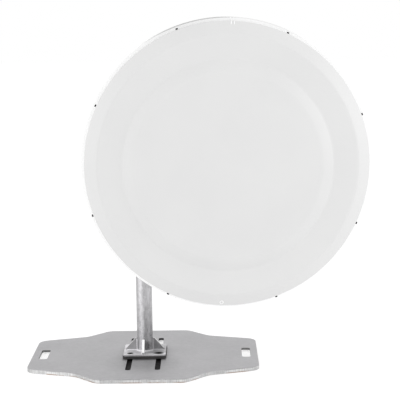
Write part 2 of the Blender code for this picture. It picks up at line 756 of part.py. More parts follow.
base_plate()
foot_frame = empty("foot_frame", None, (0.0, 0.0, 0.0))
foot(foot_frame)
mast_axis = empty("mast_axis", foot_frame, (0.0, 0.0, HUB_Z), (0.0, 0.0, HEAD_TURN))
clamp(mast_axis)
pivot_ahead = arm_and_yoke(mast_axis)
tilt_axis = empty("tilt_axis", mast_axis, (ARM_REACH, pivot_ahead, 0.0))
hub_bracket(tilt_axis)
dish_ahead = HUB_PLATE_AHEAD + HUB_PLATE_T + GAP + HUB_RING_T + GAP + BOWL_DEPTH
dish_frame = empty("dish_frame", tilt_axis, (0.0, -dish_ahead, 0.0), (math.pi / 2, DISH_ROLL, 0.0))
dish(dish_frame)
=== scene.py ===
"""Looks of a parabolic dish antenna on its mast and floor plate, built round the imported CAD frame.

Metres, +Z up, the dish faces -Y. The sections follow the object from the floor up to the radome.
"""
import math

import bmesh
import bpy
import numpy as np
from mathutils import Matrix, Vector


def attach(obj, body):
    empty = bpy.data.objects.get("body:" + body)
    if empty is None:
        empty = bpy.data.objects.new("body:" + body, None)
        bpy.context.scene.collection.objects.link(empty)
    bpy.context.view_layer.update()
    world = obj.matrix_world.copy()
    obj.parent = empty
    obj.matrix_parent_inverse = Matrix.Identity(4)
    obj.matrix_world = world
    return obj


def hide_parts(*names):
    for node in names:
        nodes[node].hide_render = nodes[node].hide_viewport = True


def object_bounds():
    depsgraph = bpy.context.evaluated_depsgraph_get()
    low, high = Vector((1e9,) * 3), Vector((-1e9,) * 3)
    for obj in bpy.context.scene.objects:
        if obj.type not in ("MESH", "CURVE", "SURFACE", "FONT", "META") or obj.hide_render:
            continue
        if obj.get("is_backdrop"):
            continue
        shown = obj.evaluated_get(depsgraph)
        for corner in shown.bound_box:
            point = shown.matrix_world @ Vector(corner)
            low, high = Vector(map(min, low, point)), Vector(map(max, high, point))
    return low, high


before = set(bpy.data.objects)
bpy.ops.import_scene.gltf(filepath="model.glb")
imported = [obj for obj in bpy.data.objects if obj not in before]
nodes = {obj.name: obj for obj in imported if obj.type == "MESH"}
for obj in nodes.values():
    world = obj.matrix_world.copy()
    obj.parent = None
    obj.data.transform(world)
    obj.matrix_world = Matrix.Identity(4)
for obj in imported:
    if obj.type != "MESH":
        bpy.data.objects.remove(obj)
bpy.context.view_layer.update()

# Studio
# A white floor that glows like a light table, under an even white sky, and soft lamps far out to both sides
# that light the rims. The camera stands where the photograph was taken.
FLOOR_HALF = 30.0
FLOOR_TINT = (0.495, 0.505)
FLOOR_GLOW = 0.55
WHITE = (1.0, 1.0, 1.0, 1.0)
SKY_STRENGTH = 1.0
LAMPS_AIM = (0.15, -0.2, 0.6)
LAMPS = (
    ("right_lamp", (4.22, -1.522, 1.991), (1.6, 2.4), 40.0),
    ("left_lamp", (-4.065, -0.943, 1.991), (1.6, 2.4), 17.0),
    ("front_lamp", (-3.046, -2.882, 2.286), (2.2, 2.2), 6.0),
    ("band_lamp", (-3.03, -3.38, 1.556), (0.45, 2.4), 11.0),
)
CAMERA_AT = (0.2425, -4.7158, 1.297)
CAMERA_LENS = 114.2
CAMERA_SENSOR = 36.0
CAMERA_HEADING = math.radians(0.31)
CAMERA_PITCH = math.radians(8.36)
CAMERA_ROLL = math.radians(-0.77)


def put(tree, kind, feeds=(), **settings):
    """One shader node: settings name its properties, and feeds pair a socket with a value or an output to link."""
    made = tree.nodes.new(kind)
    for key, value in settings.items():
        setattr(made, key, value)
    for socket, value in feeds:
        if isinstance(value, bpy.types.NodeSocket):
            tree.links.new(value, made.inputs[socket])
        else:
            made.inputs[socket].default_value = value
    return made


def ramp(tree, value, span, reach=(0.0, 1.0)):
    """An output that runs over its reach as a value runs over its span, and stays level beyond both ends."""
    ends = zip(("From Min", "From Max", "To Min", "To Max"), (*span, *reach))
    return put(tree, "ShaderNodeMapRange", [("Value", value), *ends]).outputs["Result"]


def paint(name, roughness, metallic=0.0):
    """A material with its tree and its Principled shader, whose even values are set on its own sockets."""
    made = bpy.data.materials.new(name)
    made.use_nodes = True
    shader = made.node_tree.nodes["Principled BSDF"]
    shader.inputs["Roughness"].default_value = roughness
    shader.inputs["Metallic"].default_value = metallic
    return made, made.node_tree, shader


def turn_about(axis, angle):
    """Four by four matrix of a turn about X, Y or Z."""
    made = np.eye(4)
    i, j = {"X": (1, 2), "Y": (2, 0), "Z": (0, 1)}[axis]
    made[i, i] = made[j, j] = math.cos(angle)
    made[j, i] = math.sin(angle)
    made[i, j] = -made[j, i]
    return made


def shift_by(x, y, z):
    """Four by four matrix of a shift."""
    made = np.eye(4)
    made[:3, 3] = (x, y, z)
    return made


def softbox(name, place, size, power):
    """A rectangular area lamp (width, height) at a place, turned so that its face looks at the lamps' common aim."""
    lamp = bpy.data.lights.new(name, "AREA")
    lamp.shape = "RECTANGLE"
    lamp.size, lamp.size_y = size
    lamp.energy = power
    made = bpy.data.objects.new(name, lamp)
    way = np.array(LAMPS_AIM) - np.array(place)
    made.location = place
    made.rotation_euler = (math.atan2(math.hypot(way[0], way[1]), -way[2]), 0.0, math.atan2(-way[0], way[1]))
    bpy.context.scene.collection.objects.link(made)


floor_paint, tree, shader = paint("studio_floor", 0.9)
spots = put(tree, "ShaderNodeTexNoise", [("Scale", 3.0)])
tree.links.new(ramp(tree, spots.outputs["Fac"], (0.0, 1.0), FLOOR_TINT), shader.inputs["Base Color"])
shader.inputs["Specular IOR Level"].default_value = 0.0
shader.inputs["Emission Color"].default_value = WHITE
shader.inputs["Emission Strength"].default_value = FLOOR_GLOW
floor_mesh = bpy.data.meshes.new("studio_floor")
floor_corners = FLOOR_HALF * np.array([(-1, -1, 0), (1, -1, 0), (1, 1, 0), (-1, 1, 0)])
floor_mesh.from_pydata(floor_corners.tolist(), [], [(0, 1, 2, 3)])
floor_mesh.materials.append(floor_paint)
studio_floor = bpy.data.objects.new("studio_floor", floor_mesh)
bpy.context.scene.collection.objects.link(studio_floor)
studio_floor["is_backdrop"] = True

world = bpy.data.worlds.new("studio_sky")
world.use_nodes = True
world.node_tree.nodes["Background"].inputs["Color"].default_value = WHITE
world.node_tree.nodes["Background"].inputs["Strength"].default_value = SKY_STRENGTH
bpy.context.scene.world = world
bpy.context.scene.view_settings.view_transform = "Standard"
for lamp in LAMPS:
    softbox(*lamp)

camera_data = bpy.data.cameras.new("photo_camera")
camera_data.lens = CAMERA_LENS
camera_data.sensor_width = CAMERA_SENSOR
camera = bpy.data.objects.new("photo_camera", camera_data)
bpy.context.scene.collection.objects.link(camera)
bpy.context.scene.camera = camera
look = turn_about("X", math.pi / 2 - CAMERA_PITCH) @ turn_about("Z", CAMERA_ROLL)
camera.matrix_world = Matrix((shift_by(*CAMERA_AT) @ turn_about("Z", CAMERA_HEADING) @ look).tolist())


# Floor plate
# Thick steel sheet cut to a waisted outline, with a handhold near each end and two slots under the mast,
# hot-dip galvanised to an even matt grey. Its streaked cut rim is painted brighter, partly as painted light, and
# lighter or darker by the way each face turns, as painted light that is brightest on the left arm. Painted shade
# darkens its top arris in patches, and its bottom arris is rusty. Painted shade darkens the walls of the slots and
# handholds and the top round the foot, with a painted contact shadow just before the pad, and the lower walls at
# the slots' back ends and in the handholds are painted near white as painted light.
PLATE_TONE = 0.42
PLATE_EDGE = 0.0010
RIM_TILT = (0.85, 0.35)
RIM_TONES = (0.585, 1.125)
DRAG_SCALE = (420.0, 420.0, 30.0)
RUST = (0.42, 0.27, 0.19, 1.0)
RUST_HEIGHT = (0.0045, 0.0015)
RUST_PATCHES = (0.44, 0.56)
# Painted light and shade on the cut rim, by the way each face turns
WAIST_FACING, WAIST_LIGHT_TONES = (-0.60, -0.42), (0.66, 0.80)
ARM_FACING, ARM_LIGHT_TONES = (-0.25, -0.10), (0.80, 0.64)
# Painted shade on the rim's top arris, in patches
ARRIS_HEIGHT, ARRIS_SHADE = (0.0115, 0.0125), (0.0, 0.34)
ARRIS_PATCHES = (0.40, 0.52)
SLOT_AT, SLOT_HALF = (0.054, 0.0), (0.011, 0.25)
SLOT_SHADE_GREY = (0.02, 0.02, 0.02, 1.0)
SLOT_END_Y, SLOT_END_HALF = 0.230, 0.02
HOLD_AT, HOLD_HALF = (0.385, 0.0), (0.024, 0.072)
HOLD_SHADE_GREY = (0.17, 0.17, 0.17, 1.0)
# Painted light: the lower walls at the slots' back ends and in the handholds are near white
LIT_WALL_HEIGHT, LIT_WALL_GREY = (0.006, 0.005), (0.95, 0.95, 0.95, 1.0)
# Painted shade on the top round the foot
FOOT_SHADE = ((0.0, -0.135, 0.014), 0.05, 0.16, 0.76)
# A painted contact shadow on the top just before the pad
PAD_FRONT, PAD_SIDE = (-0.104, -0.086), (0.084, 0.078)
PAD_SHADOW = (0.0, 0.55)


def reckon(tree, operation, *values):
    """The outcome of a Math node on up to three values or outputs, as an output."""
    return put(tree, "ShaderNodeMath", enumerate(values), operation=operation).outputs[0]


def scaled(tree, colour, factor):
    """A colour made darker or brighter by a factor, as an output."""
    return put(tree, "ShaderNodeVectorMath", [(0, colour), ("Scale", factor)], operation="SCALE").outputs[0]


def inside(tree, across, along, middle, half):
    """One where two distances are both within a half width of their middles, and nought elsewhere, as an output."""
    near = [reckon(tree, "COMPARE", *each) for each in zip((across, along), middle, half)]
    return reckon(tree, "MULTIPLY", *near)


def blend_of(tree, share, first, second):
    """The colour between a first and a second one at a share, as an output."""
    made = tree.nodes.new("ShaderNodeMix")
    made.data_type = "RGBA"
    for identifier, value in (("Factor", share), ("A_Color", first), ("B_Color", second)):
        socket = next(s for s in made.inputs if s.identifier.startswith(identifier))
        if isinstance(value, bpy.types.NodeSocket):
            tree.links.new(value, socket)
        else:
            socket.default_value = value
    return next(s for s in made.outputs if s.identifier == "Result_Color")


def fade_near(tree, coords, centre, near, far, share):
    """A factor that is the given share within a near distance of a point and rises to one at a far distance."""
    gap = put(tree, "ShaderNodeVectorMath", [(0, coords.outputs["Object"]), (1, centre)], operation="DISTANCE")
    return ramp(tree, gap.outputs["Value"], (near, far), (share, 1.0))


def apart(tree, vector):
    """A node whose outputs X, Y and Z are a vector's three parts."""
    return put(tree, "ShaderNodeSeparateXYZ", [("Vector", vector)])


def shader_group(name, inputs, outputs):
    """An empty shader group with named sockets, and its input and output nodes."""
    made = bpy.data.node_groups.new(name, "ShaderNodeTree")
    for side, sockets in (("INPUT", inputs), ("OUTPUT", outputs)):
        for label, kind in sockets:
            made.interface.new_socket(name=label, in_out=side, socket_type="NodeSocket" + kind)
    return made, made.nodes.new("NodeGroupInput"), made.nodes.new("NodeGroupOutput")


# Zinc skin: tone x (1 + contrast x (clouds + blots + crystals + grain, each about nought)), with a trace of blue
ZINC_SHARES = (1.3, 1.0, 0.35, 0.45)
ZINC_BLUE = (1.0, 0.99, 1.015)
zinc_skin, skin_in, skin_out = shader_group(
    "zinc_skin",
    [("Vector", "Vector"), ("Tone", "Float"), ("Contrast", "Float"), ("Crystals", "Float"), ("Smooth", "Float"),
     ("Rough", "Float")],
    [("Color", "Color"), ("Roughness", "Float"), ("Height", "Float")],
)
where = skin_in.outputs["Vector"]
clouds, blots, grain = (
    put(zinc_skin, "ShaderNodeTexNoise", [("Vector", where), *zip(("Scale", "Detail", "Roughness"), values)])
    for values in ((7.0, 5.0, 0.6), (62.0, 4.0, 0.62), (1300.0, 2.0, 0.5))
)
cells = put(zinc_skin, "ShaderNodeTexVoronoi", [("Vector", where), ("Scale", skin_in.outputs["Crystals"])])
cell_tone = put(zinc_skin, "ShaderNodeSeparateColor", [("Color", cells.outputs["Color"])])
sources = (clouds.outputs["Fac"], blots.outputs["Fac"], cell_tone.outputs["Red"], grain.outputs["Fac"])
total = -sum(ZINC_SHARES) / 2
for source, weight in zip(sources, ZINC_SHARES):
    total = reckon(zinc_skin, "MULTIPLY_ADD", source, weight, total)
shade = reckon(zinc_skin, "MULTIPLY_ADD", total, skin_in.outputs["Contrast"], 1.0)
value = reckon(zinc_skin, "MULTIPLY", shade, skin_in.outputs["Tone"])
colour = put(zinc_skin, "ShaderNodeVectorMath", [(0, value), (1, ZINC_BLUE)], operation="MULTIPLY")
rough = ramp(zinc_skin, blots.outputs["Fac"], (0.3, 0.7), (skin_in.outputs["Smooth"], skin_in.outputs["Rough"]))
relief = reckon(zinc_skin, "MULTIPLY_ADD", cell_tone.outputs["Red"], 0.4, grain.outputs["Fac"])
for made, socket in ((colour.outputs[0], "Color"), (rough, "Roughness"), (relief, "Height")):
    zinc_skin.links.new(made, skin_out.inputs[socket])


def covered(name, group, feeds, stretch, metallic, depth, strength):
    """A material with a skin group on Object coordinates: its colour, its roughness, and its height as relief."""
    made, tree, shader = paint(name, 0.5, metallic)
    coords = put(tree, "ShaderNodeTexCoord")
    run = put(tree, "ShaderNodeMapping", [("Vector", coords.outputs["Object"]), ("Scale", stretch)])
    skin = put(tree, "ShaderNodeGroup", [("Vector", run.outputs["Vector"]), *feeds], node_tree=group)
    bump = [("Height", skin.outputs["Height"]), ("Distance", depth), ("Strength", strength)]
    tree.links.new(skin.outputs["Color"], shader.inputs["Base Color"])
    tree.links.new(skin.outputs["Roughness"], shader.inputs["Roughness"])
    tree.links.new(put(tree, "ShaderNodeBump", bump).outputs["Normal"], shader.inputs["Normal"])
    return made, tree, shader, coords, skin


def zinc(name, tone, contrast, crystals, stretch=(1.0, 1.0, 1.0), metallic=0.55, depth=0.0001, rough=(0.42, 0.6)):
    """A galvanised finish: the zinc skin, stretched along the way the zinc ran off."""
    feeds = [("Tone", tone), ("Contrast", contrast), ("Crystals", crystals), ("Smooth", rough[0]), ("Rough", rough[1])]
    return covered(name, zinc_skin, feeds, stretch, metallic, depth, 0.5)


def finish(name, mesh, coat, body, slot_name, stands_for=(), edge=0.0, sharp=math.radians(35)):
    """Makes a mesh a piece: shaded smooth but for its real edges, which a small bevel softens, and fixed to a body."""
    mesh.materials.clear()
    mesh.materials.append(coat)
    mesh.shade_smooth()
    mesh.set_sharp_from_angle(angle=sharp)
    made = bpy.data.objects.new(name, mesh)
    bpy.context.scene.collection.objects.link(made)
    if edge:
        soft = made.modifiers.new("edge", "BEVEL")
        soft.width = edge
        soft.segments = 2
        soft.limit_method = "ANGLE"
        soft.angle_limit = sharp
        soft.harden_normals = False
    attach(made, body)
    if stands_for:
        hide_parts(*stands_for)


def dressed(node_name, coat, body, slot_name, edge):
    """The shape of a CAD node as a piece: its loose triangles merged to flat faces, and its edges softened."""
    mesh = nodes[node_name].data.copy()
    mesh.name = node_name + "_finished"
    shape = bmesh.new()
    shape.from_mesh(mesh)
    bmesh.ops.remove_doubles(shape, verts=shape.verts, dist=0.00001)
    bmesh.ops.dissolve_limit(shape, angle_limit=math.radians(0.5), verts=shape.verts, edges=shape.edges)
    shape.to_mesh(mesh)
    shape.free()
    if "custom_normal" in mesh.attributes:
        mesh.attributes.remove(mesh.attributes["custom_normal"])
    finish(node_name + "_finished", mesh, coat, body, slot_name, (node_name,), edge)


plate_zinc, tree, shader, coords, skin = zinc("plate_zinc", PLATE_TONE, 0.16, 90.0)
facing = apart(tree, coords.outputs["Normal"])
at = apart(tree, coords.outputs["Object"])
on_rim = ramp(tree, reckon(tree, "ABSOLUTE", facing.outputs["Z"]), RIM_TILT)
drag = put(tree, "ShaderNodeMapping", [("Vector", coords.outputs["Object"]), ("Scale", DRAG_SCALE)])
lines = put(tree, "ShaderNodeTexNoise", [("Vector", drag.outputs["Vector"]), ("Scale", 1.0), ("Detail", 3.0)])
patches = put(tree, "ShaderNodeTexNoise", [("Vector", coords.outputs["Object"]), ("Scale", 16.0), ("Detail", 3.0)])
streaks = reckon(tree, "MULTIPLY", lines.outputs["Fac"], patches.outputs["Fac"])
# The cut rim, streaked and painted brighter than the top, partly as painted light
rim = ramp(tree, streaks, (0.1, 0.4), RIM_TONES)
rusty = ramp(tree, patches.outputs["Fac"], RUST_PATCHES)
rusty = reckon(tree, "MULTIPLY", ramp(tree, at.outputs["Z"], RUST_HEIGHT), rusty)
rim = blend_of(tree, rusty, rim, RUST)
# Painted light and shade on the rim by the way each face turns, brightest on faces turned to the left arm
waist = ramp(tree, facing.outputs["X"], WAIST_FACING, WAIST_LIGHT_TONES)
arm = ramp(tree, facing.outputs["X"], ARM_FACING, ARM_LIGHT_TONES)
# Painted shade along the rim's top arris, in patches
arris = ramp(tree, at.outputs["Z"], ARRIS_HEIGHT, ARRIS_SHADE)
arris = reckon(tree, "MULTIPLY", arris, ramp(tree, patches.outputs["Fac"], ARRIS_PATCHES))
rim = scaled(tree, rim, reckon(tree, "SUBTRACT", reckon(tree, "MINIMUM", arm, waist), arris))
across = reckon(tree, "ABSOLUTE", at.outputs["X"])
# Painted shade on the walls of the slots and the handholds
rim = blend_of(tree, inside(tree, across, at.outputs["Y"], SLOT_AT, SLOT_HALF), rim, SLOT_SHADE_GREY)
in_hold = inside(tree, across, at.outputs["Y"], HOLD_AT, HOLD_HALF)
rim = blend_of(tree, in_hold, rim, HOLD_SHADE_GREY)
# Painted light: the lower walls at the slots' back ends and in the handholds are painted near white
by_end = reckon(tree, "COMPARE", at.outputs["Y"], SLOT_END_Y, SLOT_END_HALF)
lit_wall = reckon(tree, "MULTIPLY", reckon(tree, "MAXIMUM", by_end, in_hold), ramp(tree, at.outputs["Z"], LIT_WALL_HEIGHT))
rim = blend_of(tree, lit_wall, rim, LIT_WALL_GREY)
# A painted contact shadow on the top just before the pad
pad_shadow = reckon(tree, "MULTIPLY", ramp(tree, at.outputs["Y"], PAD_FRONT, PAD_SHADOW), ramp(tree, across, PAD_SIDE))
pad_shadow = reckon(tree, "MULTIPLY", pad_shadow, reckon(tree, "LESS_THAN", at.outputs["Y"], 0.0))
# Painted shade round the foot, together with the painted contact shadow before the pad
darkening = reckon(tree, "MULTIPLY", reckon(tree, "SUBTRACT", 1.0, pad_shadow), fade_near(tree, coords, *FOOT_SHADE))
top = scaled(tree, skin.outputs["Color"], darkening)
tree.links.new(blend_of(tree, on_rim, top, rim), shader.inputs["Base Color"])
dressed("base_plate", plate_zinc, "floor_plate", "galvanised_steel", PLATE_EDGE)


# Slotted bars
# Two black steel flats in the undercut slots, which the foot's screws clamp. They slide with the foot, and
# reach further before it than behind it.
BAR_EDGE = 0.0006
BLACK_GLOSS = 0.07

# Even skin of rubber, paint and plastic: a colour between two by soft patches, with fine specks for its relief
PATCH_SPAN = (0.35, 0.65)
SPECK_DEPTH, SPECK_STRENGTH = 0.0001, 0.3
even_skin, even_in, even_out = shader_group(
    "even_skin",
    [("Vector", "Vector"), ("First", "Color"), ("Second", "Color"), ("Patches", "Float"), ("Specks", "Float"),
     ("Smooth", "Float"), ("Rough", "Float")],
    [("Color", "Color"), ("Roughness", "Float"), ("Height", "Float")],
)
where = even_in.outputs["Vector"]
patches, specks = (
    put(even_skin, "ShaderNodeTexNoise", [("Vector", where), ("Scale", even_in.outputs[scale]), ("Detail", detail)])
    for scale, detail in (("Patches", 4.0), ("Specks", 2.0))
)
share = ramp(even_skin, patches.outputs["Fac"], PATCH_SPAN)
colour = blend_of(even_skin, share, even_in.outputs["First"], even_in.outputs["Second"])
gloss = ramp(even_skin, patches.outputs["Fac"], PATCH_SPAN, (even_in.outputs["Smooth"], even_in.outputs["Rough"]))
for made, socket in ((colour, "Color"), (gloss, "Roughness"), (specks.outputs["Fac"], "Height")):
    even_skin.links.new(made, even_out.inputs[socket])


def even(name, first, second, patches, specks, rough):
    """A painted, moulded or blackened finish: the even skin between two colours, with its specks as relief."""
    feeds = [("First", (*first, 1.0)), ("Second", (*second, 1.0)), ("Patches", patches), ("Specks", specks),
             ("Smooth", rough[0]), ("Rough", rough[1])]
    return covered(name, even_skin, feeds, (1.0, 1.0, 1.0), 0.0, SPECK_DEPTH, SPECK_STRENGTH)


black_tones = ((0.009, 0.008, 0.008), (0.014, 0.013, 0.013))
black_steel, _, shader, _, _ = even("black_steel", *black_tones, 60.0, 900.0, (0.5, 0.7))
shader.inputs["Specular IOR Level"].default_value = BLACK_GLOSS
for name in ("slide_bar_left", "slide_bar_right"):
    dressed(name, black_steel, "mast", "black_steel", BAR_EDGE)


# Foot pad and flange
# A black rubber pad lies between the floor plate and the mast's flange, and shows as a dark band under it.
# Four plates stand on the flange against the mast, the front one a little left of the middle. All was
# galvanised after it was welded. The plates' sloped edges carry a painted highlight, and the right plate painted
# shade. The flange has painted shade on its sides and its right, painted light and shade that darken it towards
# the front, darker spots round its two front screws, and a painted shadow at its back-left corner.
PAD_EDGE = 0.0012
STEEL_EDGE = 0.0009
# Painted shade on the flange's sides, and painted light and shade on its top, darker towards the front
FLANGE_FACING, FLANGE_SIDE_SHADE_TONES = (0.3, 0.8), (0.75, 1.0)
FLANGE_FRONT, FLANGE_FRONT_LIGHT_TONES = (-0.045, -0.02), (0.82, 1.05)
# Darker spots round the two front screws, and painted shade on the flange's right and at its back-left corner
FLANGE_DARK_SPOTS = (
    ((0.054, -0.054, 0.0296), 0.014, 0.021, 0.12),
    ((-0.054, -0.054, 0.0296), 0.009, 0.014, 0.35),
    ((-0.070, 0.014, 0.0296), 0.004, 0.007, 0.25),
    ((0.045, -0.02, 0.0296), 0.035, 0.050, 0.60),
    ((0.072, 0.038, 0.0296), 0.030, 0.045, 0.60),
)
GUSSET_SLOPE = (0.25, 0.5)
# Painted highlight on the plates' sloped edges: near white and not metallic
GUSSET_HIGHLIGHT_X, GUSSET_HIGHLIGHT_TONES = (0.014, 0.022), (1.0, 0.62)
# Painted shade on the right plate
GUSSET_SHADE_X, GUSSET_SHADE_TONES = (0.022, 0.030), (1.0, 0.60)
GUSSET_HIGHLIGHT_METALLIC = (0.55, 0.0)
black_rubber = even("black_rubber", (0.026, 0.024, 0.025), (0.044, 0.041, 0.042), 45.0, 1500.0, (0.62, 0.8))[0]
foot_zinc, tree, shader, coords, skin = zinc("foot_zinc", 0.74, 0.46, 90.0)
# Painted shade on the flange's sides, and painted light and shade on its top, darker towards the front
sides = ramp(tree, apart(tree, coords.outputs["Normal"]).outputs["Z"], FLANGE_FACING, FLANGE_SIDE_SHADE_TONES)
front = ramp(tree, apart(tree, coords.outputs["Object"]).outputs["Y"], FLANGE_FRONT, FLANGE_FRONT_LIGHT_TONES)
darkening = reckon(tree, "MULTIPLY", sides, front)
# Darker spots round the two front screws, and painted shade on the flange's right and at its back-left corner
for darker_part in FLANGE_DARK_SPOTS:
    darkening = reckon(tree, "MULTIPLY", darkening, fade_near(tree, coords, *darker_part))
tree.links.new(scaled(tree, skin.outputs["Color"], darkening), shader.inputs["Base Color"])
gusset_zinc, tree, shader, coords, skin = zinc("gusset_zinc", 0.40, 0.34, 140.0, (1.0, 1.0, 0.5))
at = apart(tree, coords.outputs["Object"])
slope = ramp(tree, apart(tree, coords.outputs["Normal"]).outputs["Z"], GUSSET_SLOPE)
# Painted highlight on the plates' sloped edges: near white and not metallic, brightest on the front and back plates
edge = ramp(tree, reckon(tree, "ABSOLUTE", at.outputs["X"]), GUSSET_HIGHLIGHT_X, GUSSET_HIGHLIGHT_TONES)
# Painted shade on the right plate
side = scaled(tree, skin.outputs["Color"], ramp(tree, at.outputs["X"], GUSSET_SHADE_X, GUSSET_SHADE_TONES))
tree.links.new(blend_of(tree, slope, side, edge), shader.inputs["Base Color"])
tree.links.new(ramp(tree, slope, (0.0, 1.0), GUSSET_HIGHLIGHT_METALLIC), shader.inputs["Metallic"])
dressed("foot_pad", black_rubber, "mast", "black_rubber", PAD_EDGE)
dressed("foot_flange", foot_zinc, "mast", "galvanised_steel", STEEL_EDGE)
for name in ("gusset_front", "gusset_back", "gusset_left", "gusset_right"):
    dressed(name, gusset_zinc, "mast", "galvanised_steel", STEEL_EDGE)


# Weld beads of the foot
# Fillet welds join the mast and its gussets to the flange, the front gusset's on its left side alone. They are
# the brightest metal of the foot, with painted shade on the right.
FLANGE_TOP = 0.0296
MAST_R = 0.03015
BEAD_R = 0.0034
BEAD_RIPPLE = 0.0040
MAST_BEAD_LIFT, GUSSET_BEAD_LIFT = 0.0006, 0.0005
UPRIGHT_START = 0.002
GUSSET_HALF = 0.0045
FRONT_GUSSET_X = -0.0045
GUSSET_ENDS = (0.0335, 0.0705)
GUSSET_TOP = 0.0740
# Painted shade on the welds right of the mast
WELD_SHADE = ((0.042, -0.02, 0.05), 0.030, 0.045, 0.55)


def moved(points, place):
    """Points carried by a four by four matrix: turned, then shifted."""
    return points @ place[:3, :3].T + place[:3, 3]


def surface(name, grids):
    """One mesh from grids of points (rows, columns, 3), each with a flag for whether its rows and its columns close.

    Four neighbours make a face. Doubles at seams and poles are merged, and faces are turned outwards.
    """
    points, faces, first = [], [], 0
    for grid, rows_close, columns_close in grids:
        rows, columns = grid.shape[:2]
        r, c = np.meshgrid(np.arange(rows - 1 + rows_close), np.arange(columns - 1 + columns_close), indexing="ij")
        r_next, c_next = (r + 1) % rows, (c + 1) % columns
        quads = [r * columns + c, r * columns + c_next, r_next * columns + c_next, r_next * columns + c]
        faces.append(np.stack(quads, axis=-1).reshape(-1, 4) + first)
        points.append(grid.reshape(-1, 3))
        first += rows * columns
    mesh = bpy.data.meshes.new(name)
    mesh.from_pydata(np.concatenate(points).tolist(), [], np.concatenate(faces).tolist())
    shape = bmesh.new()
    shape.from_mesh(mesh)
    bmesh.ops.remove_doubles(shape, verts=shape.verts, dist=0.000001)
    bmesh.ops.recalc_face_normals(shape, faces=shape.faces)
    shape.to_mesh(mesh)
    shape.free()
    return mesh


def piece(name, grids, *how, **edges):
    """A piece made from grids, which finish shades and fixes."""
    finish(name, surface(name, grids), *how, **edges)


def bead(path, radius, ripple=BEAD_RIPPLE, close=False, place=np.eye(4)):
    """Grid of a weld bead: a circle of r(s) = radius x (1 + 0.1 cos a + 0.05 sin(a / 2.7)), a = 2 pi s / ripple.

    It is carried along a path, square to the path's way. On an open path r(s) falls to nothing at both ends.
    """
    way = np.roll(path, -1, axis=0) - np.roll(path, 1, axis=0) if close else np.gradient(path, axis=0)
    way /= np.linalg.norm(way, axis=1, keepdims=True)
    upright = np.where(np.abs(way[:, 2:]) < 0.9, (0.0, 0.0, 1.0), (1.0, 0.0, 0.0))
    side = np.cross(way, upright)
    side /= np.linalg.norm(side, axis=1, keepdims=True)
    up = np.cross(side, way)
    s = np.concatenate([[0.0], np.cumsum(np.linalg.norm(np.diff(path, axis=0), axis=1))])
    r = radius * (1.0 + 0.10 * np.cos(2 * np.pi * s / ripple) + 0.05 * np.sin(2 * np.pi * s / (2.7 * ripple)))
    if not close:
        r *= np.sqrt(np.clip(np.minimum(s, s[-1] - s) / radius, 0.0, 1.0))
    turn = 2 * np.pi * np.arange(12) / 12
    ring = np.cos(turn)[None, :, None] * side[:, None] + np.sin(turn)[None, :, None] * up[:, None]
    return moved(path[:, None] + r[:, None, None] * ring, place), close, True


def straight(start, end, step=0.0008):
    """Evenly spaced points on the line from start to end."""
    start, end = np.array(start, float), np.array(end, float)
    share = np.linspace(0.0, 1.0, max(3, int(np.linalg.norm(end - start) / step)))
    return start + share[:, None] * (end - start)


turn = 2 * np.pi * np.arange(240) / 240
path = np.stack([MAST_R * np.cos(turn), MAST_R * np.sin(turn), 0 * turn + FLANGE_TOP + MAST_BEAD_LIFT], axis=-1)
grids = [bead(path, BEAD_R * 1.15, close=True)]
both = (-GUSSET_HALF, GUSSET_HALF)
for angle, sides in ((0.0, both), (90.0, both), (180.0, both), (270.0, (FRONT_GUSSET_X - GUSSET_HALF,))):
    for side in sides:
        wall = math.sqrt(MAST_R ** 2 - side ** 2)
        along = straight(*((end, side, FLANGE_TOP + GUSSET_BEAD_LIFT) for end in GUSSET_ENDS))
        upward = straight((wall, side, FLANGE_TOP + UPRIGHT_START), (wall, side, GUSSET_TOP))
        grids += [bead(path, BEAD_R * 0.8, place=turn_about("Z", math.radians(angle))) for path in (along, upward)]
weld_metal, tree, shader, coords, skin = zinc("weld_metal", 0.88, 0.14, 300.0, metallic=0.4)
# Painted shade on the welds right of the mast
darker_colour = scaled(tree, skin.outputs["Color"], fade_near(tree, coords, *WELD_SHADE))
tree.links.new(darker_colour, shader.inputs["Base Color"])
piece("foot_welds", grids, weld_metal, "mast", "galvanised_steel")


# Foot screws
# Black countersunk screws with hexagon sockets, flush with the flange. They go through the flange, the pad
# and the slots into the bars.
SCREW_AT = 0.054
SCREW_HEAD_R = 0.0105
SCREW_CONE_LOW = 0.0251
SCREW_SHANK_R = 0.006
SCREW_TIP = 0.0010
SCREW_LAND, SCREW_BREAK = 0.0004, 0.0003
SOCKET_FLATS = 0.008
SOCKET_FLOOR = 0.0261


def hexagon(flats, angles):
    """Distance from the axis to a hexagon's side at each angle: half its width over flats / cos(angle folded to 30)."""
    folded = (angles + np.pi / 6) % (np.pi / 3) - np.pi / 6
    return flats / 2 / np.cos(folded)


def wrapped(rows, angles, place, close=False):
    """Grid of rows of (radius, height), which may change with the angle t: x = r cos t, y = r sin t, z = height."""
    r, h = (np.stack([part + 0 * angles for part in parts]) for parts in zip(*rows))
    return moved(np.stack([r * np.cos(angles), r * np.sin(angles), h], axis=-1), place), close, True


def sunk_screw(place):
    """Grid of a countersunk screw: circles up the shank and the cone, then hexagons down the socket."""
    angles = 2 * np.pi * np.arange(48) / 48
    wall = hexagon(SOCKET_FLATS, angles)
    rows = [(0, SCREW_TIP), (SCREW_SHANK_R, SCREW_TIP), (SCREW_SHANK_R, SCREW_CONE_LOW),
            (SCREW_HEAD_R, FLANGE_TOP - SCREW_LAND), (SCREW_HEAD_R - SCREW_BREAK, FLANGE_TOP),
            (wall * 1.06, FLANGE_TOP), (wall, FLANGE_TOP - SCREW_BREAK), (wall, SOCKET_FLOOR), (0, SOCKET_FLOOR)]
    return wrapped(rows, angles, place)


